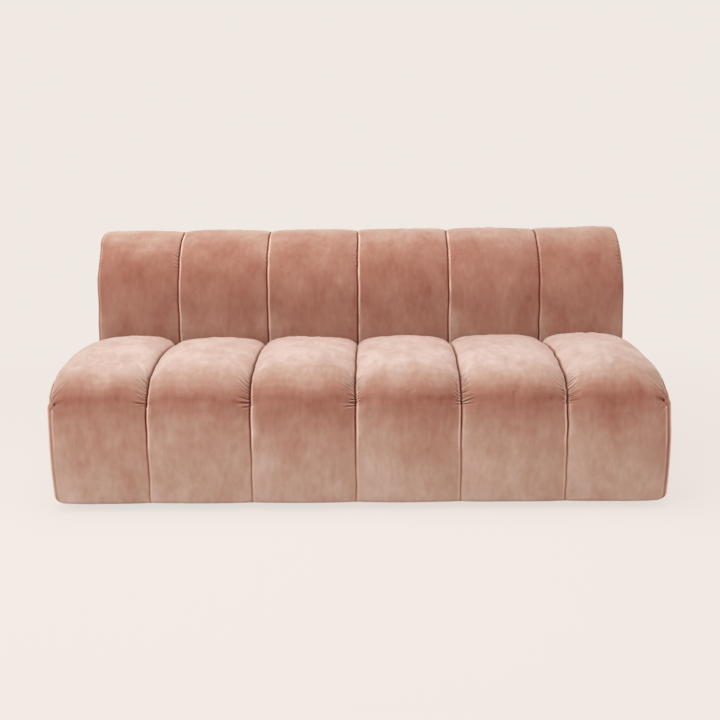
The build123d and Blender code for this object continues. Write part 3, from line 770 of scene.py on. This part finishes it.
def seat_painted_light(number, s, u, half):
    """The painted light: 0 for painted shade down in a fold, 1 for painted sheen where the pile is seen
    edge-on.
    """
    d = half - np.abs(u)
    x = u + middles[number]
    at_end = towards_end(number, u, half) > 0
    light_and_mottle = between(s - face_height + 0.012 * soft_noise(x, s, 0.16, 17), seat_light_profile)
    # Painted shade in the creases, and painted highlight on the rolls between them.
    creases = np.clip(seat_folds(number, s, u, half), -1.4, 1.2)
    light_and_mottle += np.where(creases < 0, 0.33, 0.48) * creases
    # Painted shade at the pinch of an end seam, and along that seam below it.
    light_and_mottle -= 0.2 * at_end * bell(d - 0.007, 0.006) * bell(s - pinch_s, 0.007)
    light_and_mottle -= 0.25 * at_end * (s < pinch_s) * bell(d, 0.005)
    # Painted highlight right of each seam below the pinch, and painted shade along each channel's right seam
    # on top.
    flare = seam_flare[number] * bell(half + u, 0.017) * hump(s, pinch_s - 0.085, pinch_s - 0.02, 0.03)
    falling_shade = bell(half - u, 0.011) * share((s - pinch_s - 0.05) / 0.04)
    # Each channel is also painted darker towards its right, as the light comes from the left.
    light_and_mottle = light_and_mottle + 0.30 * flare - 0.05 * u / half - 0.14 * falling_shade
    # Painted shade along the seams, less of it at the end seams.
    seam_shade_strength = between(s - pinch_s, seam_painted_shade) * (1 - at_end * between(s - pinch_s, end_seam_light))
    return light_and_mottle * (1 - seam_shade_strength * bell(d, seam_shade))


def seat_edge(number, s, u, half):
    """How bright the highlight painted on the lips beside the seams is."""
    strong = 0.38 + 0.62 * hump(s, pinch_s - 0.11, pinch_s + 0.05, 0.04)
    left, right = (bell(d - shine_line, shine_width) for d in (half + u, half - u))
    return strong * (left * lip_light[0][number] + right * lip_light[1][number])


seat_shapes = swell_velvet(
    dense_run, lambda s: -seat_valley(s), seat_rise, lambda s: share((s - 0.36) / 0.15), 501
)
for number in range(6):
    sleeve("seat", number, seat_run, seat_outside, seat_painted_light, seat_edge, seat_ends, pinch_s)

# ---- back channels ----
# The back's channels go on from the seams of the seat, up the face and over the rolled top, and end under a
# closing seam at the top of the plain rear panel.

back_y = crevice_y + crown + 0.0005
_, rear_y, back_top_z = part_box("left_back_side_cover")[1]
core_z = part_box("seat_foam_core")[0][2]
rear_roll = 0.060
back_roll = rear_y - rear_roll - back_y
closing_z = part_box("outside_back_cover")[1][2]
back_face_height = back_top_z - back_roll - core_z
back_moves = [back_face_height, (back_roll, 90), (rear_roll, 90), back_top_z - rear_roll - closing_z]
dense_run = run_along((back_y, core_z), back_moves)
end_s = dense_run[2][-1]
pucker_s = back_face_height + 0.115  # the back's seams are gathered a little above here
back_run = stepped(dense_run, 0.0042, 0.0015, [(pucker_s - 0.02, pucker_s + 0.12), (end_s - 0.014, end_s)])
back_puckers = 9
back_fold_height = 0.0032
back_waves = 0.0016

# How far the back's two end seams stand out at each height.
back_ends = (
    [(0, 0.0), (0.46, 0.0), (0.545, -0.004), (0.62, -0.001), (0.66, -0.003), (0.70, -0.002), (0.748, 0.005)],
    [(0, 0.0), (0.56, -0.004), (0.66, -0.008), (0.72, -0.008), (0.748, -0.006)],
)

# The small puckers at each seam of the rolled top, to its left and right, how bright the highlight painted on
# the left lip of each channel is, and the painted light from the top of the straight face upwards.
pucker_left = (0.0, 0.7, 0.25, 0.5, 0.2, 0.3, 0.6)
pucker_right = (0.4, 0.0, 0.0, 0.15, 0.2, 0.15, 0.0)
back_lip_light = (0.3, 0.85, 0.85, 0.85, 0.75, 0.3)
back_light_profile = [
    (-0.25, 0.37), (-0.09, 0.37), (-0.02, 0.33), (0.05, 0.29), (0.08, 0.27), (0.11, 0.28), (0.145, 0.31),
    (0.185, 0.41), (0.24, 0.56), (0.31, 0.72), (0.45, 0.70), (0.60, 0.50),
]


def back_gathers(s, d, strength, seed):
    """The puckers on one side of a back seam."""
    rng = np.random.default_rng(seed)
    up = (np.arange(back_puckers) + rng.uniform(-0.3, 0.3, back_puckers)) / (back_puckers - 1)
    lengths = rng.uniform(0.012, 0.030, back_puckers) * (0.5 + 0.5 * strength)
    return strength**0.6 * gathers(s, d, pucker_s + up * 0.095, lengths, 0.1 + 0.7 * up, 0.0026, 1.0)


def back_folds(number, s, u, half):
    return seam_folds(number, back_gathers, pucker_left, pucker_right, (301, 401), s, u, half)


# How far the back's end seams, its inner seams and its crests stand out from its side profile.
back_end_height = follows(
    (0, 0.0), (0.18, 0.006), (0.4, 0.012), (0.50, 0.0185), (0.62, 0.0175), (0.75, 0.009), (end_s, 0.0)
)
back_seam = follows((0, -0.006), (0.2, -0.004), (0.35, 0.002), (0.52, 0.0125), (0.75, 0.009), (end_s, -0.002))
back_crest = follows((0, 0.012), (0.2, 0.016), (0.35, 0.019), (0.52, 0.0195), (0.75, 0.017), (end_s, 0.006))


def back_outside(number, s, u, half):
    """How far a back channel's velvet stands out from the side profile."""
    x = u + middles[number]
    middle = back_shapes[number](s, u, half)
    seam = np.where(towards_end(number, u, half) > 0, back_end_height(s), back_seam(s))
    height = seam + (back_crest(s) - seam) * middle - lip_depth * rounded((half - np.abs(u)) / lip)
    height -= under_round * rounded((end_s - s) / under_round)
    height += back_waves * middle * soft_noise(s, x, 0.2, 51 + number)
    height += crest_ripples * middle * soft_noise(s * 0.4, x, 0.03, 71 + number)
    return height + back_fold_height * back_folds(number, s, u, half)


def back_painted_light(number, s, u, half):
    # The painted light up the back, with painted shade in its puckers and painted highlight on their rolls.
    light_and_mottle = between(s - back_face_height, back_light_profile) + 0.28 * back_folds(number, s, u, half)
    # A painted highlight right of each seam, low on the face.
    flare = bell(half + u, 0.035) * hump(s, 0.14, 0.20, 0.06)
    light_and_mottle = light_and_mottle + 0.16 * flare + 0.03 * soft_noise(s, u, 0.15, 81 + number)
    # Painted shade along the seams, less of it at the end seams.
    seam_shade_strength = np.where(towards_end(number, u, half) > 0, 0.3, 0.95)
    return light_and_mottle * (1 - seam_shade_strength * bell(half - np.abs(u), seam_shade))


def back_edge(number, s, u, half):
    # A painted highlight on the left lip of each channel, uneven along it.
    light = back_lip_light[number] * (1 + 0.35 * soft_noise(s, 0.0, 0.07, 6 + number))
    return light * bell(half + u - shine_line, shine_width)


back_shapes = swell_velvet(dense_run, back_seam, back_crest, lambda s: 0.5 * share((s - 0.4) / 0.1), 701)
for number in range(6):
    sleeve("back", number, back_run, back_outside, back_painted_light, back_edge, back_ends, pucker_s)

# ---- end panels ----
# The two ends are closed by padded velvet panels, one beside the seat and one beside the back. Their edges
# are sewn to the end channels, so they roll over into the seam.

panel_roll = 0.020  # how far in a panel's soft edge reaches
panel_belly = 0.002  # further rise towards its middle
frame_cover = 0.026  # from a panel's edge to the edge of the plywood inside it
panel_step = 0.004  # between two points of a panel's outline
seat_reach = [(0.0, 0.012), (pinch_z - 0.005, 0.012), (pinch_z + 0.025, 0.003), (pinch_z + 0.08, 0.002)]
back_reach = [(0.0, 0.005), (0.40, 0.005), (0.60, 0.003), (0.80, 0.003)]
panel_rings = np.concatenate(
    (np.linspace(0, 0.02, 9), np.linspace(0.02, 0.14, 15)[1:], np.linspace(0.14, 0.985, 36)[1:])
)


def end_panel(name, outline, side, reach, ends, stands_for):
    """A padded panel: its outline drawn in towards its middle in rings, which rise from the edge."""
    centre = (outline.min(0) + outline.max(0)) / 2
    flat = centre + (1 - panel_rings)[:, None, None] * (outline - centre)
    away = np.full(flat.shape[:2], 9.0)
    for point in outline:
        away = np.minimum(away, np.hypot(flat[..., 0] - point[0], flat[..., 1] - point[1]))
    away[0] = 0.0
    inwards = share(away / 0.12)
    belly = panel_belly * inwards * (2 - inwards)
    rise = between(flat[..., 1], reach) * (1 - rounded(away / panel_roll)) + belly
    rise += 0.0012 * share(away / 0.05) * soft_noise(flat[..., 0], flat[..., 1], 0.2, 7 + side)
    inner = -0.010 * np.clip((outline[:, 1] - under_z) / 0.05, 0.1, 1)
    rise = np.concatenate((inner[None], rise))
    flat = np.concatenate((outline[None], flat))
    away = np.concatenate((away[:1], away))
    x = draw_in(side * (seam_xs[-1] + seam_gap), flat[..., 1], ends) + side * rise
    short = share(seam_xs[-1] + 0.002 + panel_belly * inwards - side * x[1:])
    short *= share((flat[1:, :, 1] - under_z - 0.04) / 0.05)
    x[1:] += side * short * smooth(away / frame_cover)[1:]
    y, z = flat[..., 0], flat[..., 1]
    rings = np.stack((x, y, z), -1)
    under_pinch = share((pinch_z + 0.01 - z) / 0.02)
    # Painted light, lighter towards the bottom, with a painted sheen along the edge below the pinch.
    painted_lights = 0.36 + 0.22 * share(1 - (z - under_z) / 0.4) + 0.20 * under_pinch * bell(away, 0.03)
    # Painted shade along the seam at the panel's edge.
    panel_seam_shade = (0.4 if side < 0 else 0.65) * (0.2 + 0.8 * under_pinch)
    painted_lights *= 1 - panel_seam_shade * bell(away, 0.002)
    # A painted highlight a little inside the edge.
    edges = bell(away - 0.0065, 0.0035) * (0.25 + 0.55 * under_pinch)
    around = slice(None, None, side)  # the faces look outwards at both ends
    rings, painted_lights, edges = rings[:, around], painted_lights[:, around], edges[:, around]
    cover(closed_tube(name, rings, rings[..., 1:], painted_lights, edges), 0.9, *stands_for)


def evenly(points):
    """A closed outline with a point at about every step."""
    points = np.array(points)
    loop = np.concatenate((points, points[:1]))
    lengths = np.concatenate(([0], np.cumsum(np.hypot(*(loop[1:] - loop[:-1]).T))))
    at = np.linspace(0, lengths[-1], round(lengths[-1] / panel_step), endpoint=False)
    return np.stack([np.interp(at, lengths, loop[:, k]) for k in (0, 1)], -1)


def seat_outline(side):
    """The outline of a seat end panel, along the end seam and down the crevice."""
    places, outs, lengths = seat_run
    seam_set = 0.0065 - 0.0045 * share((lengths - pinch_s + 0.02) / 0.02)
    inset = bowed(lengths) + end_fall(lengths, side) + end_round(lengths) + seam_set
    dome_end = face_height + sum(radius * math.radians(angle) for radius, angle in seat_bends[:2])
    seam = (places - outs * inset[:, None])[(lengths > 0.004) & (lengths < dome_end)]
    return evenly([*seam, (crevice_y, seam[-1][1] - 0.02), (crevice_y, under_z + 0.002)])


def back_outline():
    """The outline of a back end panel, up the crevice and the back's end seam and down the rear."""
    places, outs, lengths = back_run
    seam = (places + outs * (back_end_height(lengths) - 0.002)[:, None])[lengths >= back_face_height - 0.15]
    low, crevice = under_z + 0.002, crevice_y + 0.0005
    corners = [(crevice, low), (crevice, seat_top_z - 0.05), (back_y, seat_top_z - 0.03)]
    return evenly([*corners, *seam, (rear_y, low)])


for side, word in ((-1, "left"), (1, "right")):
    for part, outline, reach, ends in (
        ("seat", seat_outline(side), seat_reach, seat_ends),
        ("back", back_outline(), back_reach, back_ends),
    ):
        stands_for = (f"{word}_{part}_side_cover", f"{word}_{part}_side_pad")
        end_panel(f"{word}_{part}_panel", outline, side, reach, ends, stands_for)

# ---- rear panel ----
# A plain panel of the same velvet closes the back. It is stretched over thin wadding and slip-stitched under
# the channels, and its lower edge is stapled under the frame.

rear_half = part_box("outside_back_cover")[1][0]
pad_front_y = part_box("rear_padding")[0][1]
panel_spacing = {"fine": 0.003, "growth": 1.2, "widest": 0.02}
columns = across(rear_half, **panel_spacing)
rows = across((closing_z - under_z) / 2, **panel_spacing)
z, x = np.meshgrid(rows + (closing_z + under_z) / 2, columns, indexing="ij")
side_fall = rounded((rear_half - np.abs(x)) / 0.03)
end_drop = rounded(np.minimum(closing_z - z, z - under_z) / 0.02)
y = rear_y + 0.003 - 0.010 * np.maximum(side_fall, end_drop) + 0.0012 * soft_noise(x, z, 0.4, 3)
full_x = with_inside(x, np.linspace(1, -1, 5) * rear_half, 5)
full_y = with_inside(y, pad_front_y, 5)
full_z = with_inside(z, z[:, :1], 5)
rings = np.stack((draw_in(full_x, full_z, back_ends), full_y, full_z), -1)
# The painted light grows lighter towards the lower edge, unevenly.
painted_lights = 0.34 + 0.14 * (closing_z - full_z) / (closing_z - under_z) + 0.05 * soft_noise(full_x, full_z, 0.3, 9)
uvs = np.stack((full_x, full_z), -1)
rear = closed_tube("rear_panel", rings[::-1], uvs[::-1], painted_lights[::-1], np.zeros_like(painted_lights))
cover(rear, 0.95, "outside_back_cover", "rear_padding")

# ---- feet ----
# Six turned feet of black plastic stand under the frame, on rubber glides that keep them from slipping.
# The covers come down almost to the floor around them.

dress(grained("black_foot", [colour(34, 33, 32)], 900.0, 0.42, 0.2, 0.0002), "feet")
dress(grained("glide_rubber", [colour(44, 42, 40)], 500.0, 0.75, 0.3, 0.0003), "foot_glides")

# ---- hems, dust sheet, staples and stitches ----
# The velvet is folded under the frame and stapled to the rails, and a black bonded sheet is stapled over it.
# Behind, the rolled channels are closed to the rear panel with slip stitches.

rail_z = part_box("front_bottom_rail")[0][2]
rail_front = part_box("front_board")[0][1]
sheet_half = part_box("dust_cover")[1][0] - 0.004
hem_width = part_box("dust_cover")[0][1] - rail_front
hem_length = 2 * sheet_half
hem_thickness = 0.0018
sheet_reach = 0.385  # from the sofa's middle to the dust sheet's front and rear edges
sheet_thickness = 0.0006
hem_step_y = 0.343  # where the dust sheet drops over the hems


def thin_sheet(name, xs, ys, under, thickness, material):
    """A closed sheet over a grid, with its lower side at the given heights."""
    x, y = np.meshgrid(xs, ys, indexing="ij")
    low = under(x, y)
    top, bottom = np.stack((x, y, low + thickness), -1), np.stack((x, y, low), -1)
    rings = np.concatenate((top, bottom[:, ::-1]), 1)[::-1]
    flat = np.zeros(rings.shape[:2])
    piece = closed_tube(name, rings, rings[..., :2], flat + 0.4, flat)
    piece.data.materials.append(material)
    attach(piece, "root")
    return piece


def hem_under(x, y):
    return rail_z - 0.0022 - 0.0002 * (1 + soft_noise(x, y, 0.06, 41))


def sheet_under(x, y):
    """The dust sheet lies on the blocks of the feet, sags a little between them and drops over the hems."""
    over_hem = smooth((np.abs(y) - hem_step_y) / 0.006)
    bay = np.sin(np.pi * share((np.abs(x) - 0.09) / 0.62)) ** 2 * np.cos(np.pi * np.clip(y / 0.68, -0.5, 0.5))
    return rail_z - 0.0008 - 0.0026 * over_hem - 0.0015 * bay


hem_xs = np.linspace(-hem_length / 2, hem_length / 2, 120)
for word, start in (("front", rail_front + 0.0005), ("rear", -rail_front - hem_width)):
    hem_ys = np.linspace(start, start + hem_width - 0.0005, 12)
    hem = thin_sheet(f"{word}_hem", hem_xs, hem_ys, hem_under, hem_thickness, cover_velvet)

bonded, tree, shader = new_material("dust_sheet")
bond = tree.value("ShaderNodeTexVoronoi", {"Vector": tree.place(), "Scale": 420.0})
bond_tone = tree.blend(bond, colour(30, 30, 31), colour(52, 52, 54))
tree.finish(shader, bond_tone, 0.85, tree.bump(bond, 0.4, 0.0004))
edge_steps = np.concatenate((np.linspace(0.338, 0.352, 10), [0.36, 0.372, sheet_reach]))
sheet_xs = np.linspace(-sheet_half, sheet_half, 110)
sheet_ys = np.concatenate((-edge_steps[::-1], np.linspace(-0.32, 0.32, 33), edge_steps))
dust = thin_sheet("dust_sheet", sheet_xs, sheet_ys, sheet_under, sheet_thickness, bonded)
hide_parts("dust_cover")


def set_along(name, lines, material, spacing, size, unevenness=0.0, round_ends=False):
    """Small pieces set along lines by a node tree, then made one plain mesh."""
    group = bpy.data.node_groups.new(name, "GeometryNodeTree")
    face = group.interface
    for way in ("INPUT", "OUTPUT"):
        face.new_socket(name="Geometry", in_out=way, socket_type="NodeSocketGeometry")
    given = {}
    for key, kind, value in (
        ("Spacing", "Float", spacing), ("Size", "Vector", size),
        ("Unevenness", "Float", unevenness), ("Material", "Material", material),
    ):
        socket = face.new_socket(name=key, in_out="INPUT", socket_type=f"NodeSocket{kind}")
        given[socket.identifier] = value
    tree = Tree(group)
    start = tree.add("NodeGroupInput").outputs

    def part(kind, values=(), **settings):
        return tree.add(kind, values, **settings).outputs[0]

    curve = part("GeometryNodeMeshToCurve", {"Mesh": start["Geometry"]})
    marks = part("GeometryNodeResampleCurve", {"Curve": curve, "Length": start["Spacing"]}, mode="LENGTH")
    turned = tree.add("FunctionNodeRandomValue", {"Seed": 17, 2: -1.0, 3: 1.0}, data_type="FLOAT").outputs[1]
    amount = part("ShaderNodeMath", [turned, start["Unevenness"]], operation="MULTIPLY")
    wobble = part("FunctionNodeEulerToRotation", [part("ShaderNodeCombineXYZ", {"Z": amount})])
    tangent = part("GeometryNodeInputTangent")
    aligned = part("FunctionNodeAlignRotationToVector", {"Vector": tangent}, axis="X")
    rotation = part("FunctionNodeRotateRotation", [aligned, wobble], rotation_space="LOCAL")
    if round_ends:
        unit = part("GeometryNodeMeshUVSphere", {"Segments": 8, "Rings": 5, "Radius": 0.5})
        unit = part("GeometryNodeTransform", {"Geometry": unit, "Scale": start["Size"]})
    else:
        unit = part("GeometryNodeMeshCube", {"Size": start["Size"]})
    setting = {"Points": marks, "Instance": unit, "Rotation": rotation}
    real = part("GeometryNodeRealizeInstances", [part("GeometryNodeInstanceOnPoints", setting)])
    dressed = part("GeometryNodeSetMaterial", {"Geometry": real, "Material": start["Material"]})
    tree.add("NodeGroupOutput", [dressed])
    points, edges = [], []
    for line in lines:
        edges += [(len(points) + k, len(points) + k + 1) for k in range(len(line) - 1)]
        points += line
    piece = put_mesh(name, points, edges)
    modifier = piece.modifiers.new("set_along", "NODES")
    modifier.node_group = group
    for key, value in given.items():
        modifier[key] = value
    made = bpy.data.meshes.new_from_object(piece.evaluated_get(bpy.context.evaluated_depsgraph_get()))
    piece.modifiers.remove(modifier)
    piece.data = made
    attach(piece, "root")


def on_sheet(xs, ys):
    """A line of places on the underside of the dust sheet."""
    return [(x, y, float(sheet_under(x, y)) - 0.0001) for x in xs for y in ys]


staple_y, staple_x = 0.379, 0.8632
staple_lines = [on_sheet(np.linspace(-0.85, 0.85, 60), [y]) for y in (-staple_y, staple_y)]
staple_lines += [on_sheet([x], np.linspace(-0.33, 0.33, 30)) for x in (-staple_x, staple_x)]
staple_size = (0.011, 0.0011, 0.0007)
steel = metal("staple_wire", colour(176, 176, 180), 0.35)
set_along("staples", staple_lines, steel, spacing=0.036, size=staple_size, unevenness=0.35)

thread_tones = (colour(150, 96, 78), colour(188, 132, 112))
thread = grained("seam_thread", thread_tones, 1400.0, 0.6, 0.3, 0.0002, gloss=0, stretch=(1, 1, 0.3))
stitch_size, stitch_y = (0.0013, 0.0016, 0.0072), rear_y - 0.0030
closing = [
    [(float(x), stitch_y, closing_z) for x in np.linspace(left + 0.012, right - 0.012, 24)]
    for left, right in zip(seam_xs, seam_xs[1:])
]
set_along("slip_stitches", closing, thread, spacing=0.010, size=stitch_size, round_ends=True)

# ---- floor, light and camera ----
# A plain pale studio: a floor that keeps the sofa's shadow, a large soft light above and in front to the
# left, and a weak fill from the right.

paper = colour(240, 233, 227)
floor_reach, floor_z = 14.0, -0.0006
floor_corners = [(x * floor_reach, y * floor_reach, floor_z) for x, y in ((-1, -1), (1, -1), (1, 1), (-1, 1))]
floor = put_mesh("floor", floor_corners, faces=[(0, 1, 2, 3)])
material, tree, shader = new_material("studio_floor")
tree.fill(shader, {"Base Color": paper, "Roughness": 0.9, "Specular IOR Level": 0.0})
glow = tree.add("ShaderNodeEmission", {"Color": paper, "Strength": 1.0})
seen = tree.value("ShaderNodeLightPath")
at = tree.value("ShaderNodeTexCoord", out=3)
spot = tree.value("ShaderNodeVectorMath", [at], out=1, operation="LENGTH")
tree.show((spot.step(1.2, 3.0) * 0.16 + 0.84) * seen, shader, glow)
floor.data.materials.append(material)

scene = bpy.context.scene
scene.view_settings.view_transform = "Standard"
world = bpy.data.worlds.new("studio")
scene.world = world
world.use_nodes = True
tree = Tree(world.node_tree)
rays = tree.add("ShaderNodeLightPath").outputs
camera_ray, glossy_ray, through_ray = (
    Shade(tree, rays[f"Is {kind} Ray"]) for kind in ("Camera", "Glossy", "Transmission")
)
plain = (camera_ray + glossy_ray + through_ray).clip()
ambient = tree.add("ShaderNodeBackground", {"Color": (1.0, 0.985, 0.97, 1), "Strength": 0.42})
backdrop = tree.add("ShaderNodeBackground", {"Color": paper, "Strength": 1.0})
tree.show(plain, ambient, backdrop, "World Output")


def soft_light(name, place, aim, size, power, tint):
    lamp = bpy.data.lights.new(name, "AREA")
    lamp.shape = "RECTANGLE"
    lamp.size, lamp.size_y = size
    lamp.energy = power
    lamp.color = tint
    light = put(name, lamp)
    light.location = place
    towards = np.array(aim) - np.array(place)
    flat = math.hypot(towards[0], towards[1])
    light.rotation_euler = (math.atan2(flat, -towards[2]), 0, math.atan2(-towards[0], towards[1]))


soft_light("overhead", (-0.5, -0.3, 3.4), (0, 0.1, 0.4), (4.0, 2.6), 84.0, (1.0, 0.98, 0.96))
soft_light("front_left", (-2.8, -3.6, 2.3), (0, 0, 0.4), (2.4, 2.0), 66.0, (1.0, 0.98, 0.95))
soft_light("right_fill", (3.4, -2.6, 1.4), (0, 0, 0.4), (2.0, 1.8), 24.0, (1.0, 0.98, 0.97))

photo_width = 720
focal_px = 1120.0
centre_px = 358.8  # the photo's column that the camera looks along
camera_distance = 3.123  # in front of the seat
camera_turns = ((0.94, "Z"), (90 - 10.3, "X"), (-0.62, "Z"))  # turned left, tilted down, rolled: degrees
camera_data = bpy.data.cameras.new("camera")
camera_data.sensor_width = 36.0
camera_data.lens = focal_px / photo_width * camera_data.sensor_width
camera_data.shift_x = (photo_width / 2 - centre_px) / photo_width
camera = put("camera", camera_data)
camera.location = (0.055, front_y - camera_distance, 1.015)
turn, tilt, roll = (mathutils.Matrix.Rotation(math.radians(angle), 3, axis) for angle, axis in camera_turns)
camera.rotation_euler = (turn @ tilt @ roll).to_euler()
scene.camera = camera
